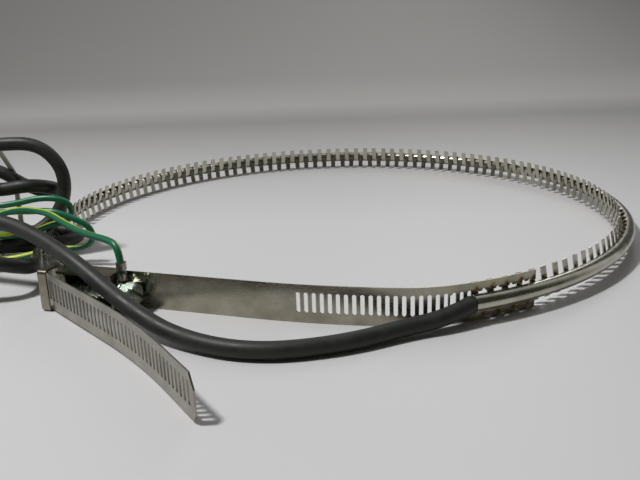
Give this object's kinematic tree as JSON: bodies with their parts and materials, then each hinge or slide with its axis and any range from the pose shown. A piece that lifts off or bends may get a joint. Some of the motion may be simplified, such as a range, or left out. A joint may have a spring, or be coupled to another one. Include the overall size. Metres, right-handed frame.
{
  "type": "crankcase heater",
  "caption": "Belt heater for a compressor crankcase: a heated rope in a stainless comb channel, bent into a ring and closed by slotted straps and a screw clamp, with leads.",
  "frame": {"origin": "centre of the ring, on the plane that it lies on", "axes": "+Z along the ring's axis and up from that plane, the clamp and leads towards -X, the front strap towards -Y"},
  "size_m": [0.4286, 0.3743, 0.0634],
  "materials": {
    "stainless": "rolled, dull",
    "zinc_plate": "bright zinc with a green tint",
    "tinned": "tinned",
    "strands": "tinned copper",
    "silicone": "matt black",
    "glass_core": "glass yarn with a wound wire",
    "earth_sheath": "green with a yellow stripe",
    "tie": "moulded nylon"
  },
  "bodies": {
    "heater": {"comb_channel": "stainless", "front_strap": "stainless", "rear_strap": "stainless", "clamp_housing": "stainless", "keeper_loop": "stainless", "star_washer": "zinc_plate", "earth_terminal": "tinned", "earth_strands": "strands", "lead_a_conductor": "strands", "lead_b_conductor": "strands", "earth_conductor": "strands", "splice_a": "strands", "splice_b": "strands", "rope_jacket": "silicone", "rope_core": "glass_core", "boot_a": "silicone", "boot_b": "silicone", "lead_a": "silicone", "lead_b": "silicone", "lead_hank": "silicone", "earth_wire": "earth_sheath", "earth_hank": "earth_sheath", "hank_tie": "tie"},
    "screw": {"clamp_screw": "zinc_plate"}
  },
  "joints": [
    {"name": "screw_turn", "type": "hinge", "parent": "heater", "child": "screw", "pos_m": [-0.094, -0.12349, 0.0083], "axis": [0.95, -0.3123, 0], "continuous": true}
  ]
}
